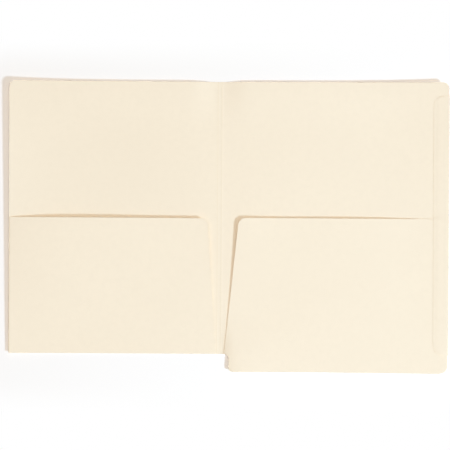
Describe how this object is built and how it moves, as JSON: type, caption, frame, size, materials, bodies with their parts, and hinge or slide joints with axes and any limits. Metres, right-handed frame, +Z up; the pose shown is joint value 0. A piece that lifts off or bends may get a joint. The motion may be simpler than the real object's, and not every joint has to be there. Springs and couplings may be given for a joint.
{
  "type": "file pocket",
  "caption": "End-tab paper file folder lying open, with a slant-cut half pocket inside each cover, a folded-in side flap and a scored spine on which the front cover swings shut.",
  "frame": {"origin": "middle of the open folder's outline, on the surface that it lies on", "axes": "+X across the open folder from the front panel to the back panel, +Y along the spine away from the end tab, +Z up out of the inside faces"},
  "size_m": [0.4683, 0.31, 0.006],
  "materials": {
    "stock": "smooth uncoated manila stock",
    "crease": "manila stock pressed at a fold or score",
    "glue": "dried paper glue"
  },
  "bodies": {
    "back": {"back_panel": "stock", "back_pocket_base": "stock", "back_pocket_fold": "crease", "side_flap": "stock", "side_flap_fold_upper": "crease", "side_flap_fold_lower": "crease", "flap_glue_upper": "glue", "flap_glue_lower": "glue"},
    "back_mouth": {"back_pocket_mouth": "stock"},
    "spine": {"spine_strip": "stock", "back_score": "crease", "front_score": "crease"},
    "front": {"front_panel": "stock", "front_pocket_base": "stock", "front_pocket_fold": "crease", "front_pocket_glue": "glue"},
    "front_mouth": {"front_pocket_mouth": "stock"}
  },
  "joints": [
    {"name": "spine_fold", "type": "hinge", "parent": "back", "child": "spine", "pos_m": [-0.00785, 0, 0.00015], "axis": [0, 1, 0], "range_deg": [0, 89]},
    {"name": "cover_fold", "type": "hinge", "parent": "spine", "child": "front", "pos_m": [-0.01215, 0, 0.00015], "axis": [0, 1, 0], "range_deg": [0, 89]},
    {"name": "back_mouth_lift", "type": "hinge", "parent": "back", "child": "back_mouth", "pos_m": [-0.00414, -0.1335, 0.0006], "axis": [0.8416, 0.5402, 0], "range_deg": [-2.75, 0]},
    {"name": "front_mouth_lift", "type": "hinge", "parent": "front", "child": "front_mouth", "pos_m": [-0.22755, 0.0095, 0.0006], "axis": [0.8324, -0.5541, 0], "range_deg": [-2.75, 0]}
  ],
  "couplings": [
    {"joint": "back_mouth_lift", "follows": "spine_fold", "ratio": -0.03089},
    {"joint": "front_mouth_lift", "follows": "cover_fold", "ratio": -0.03089}
  ]
}
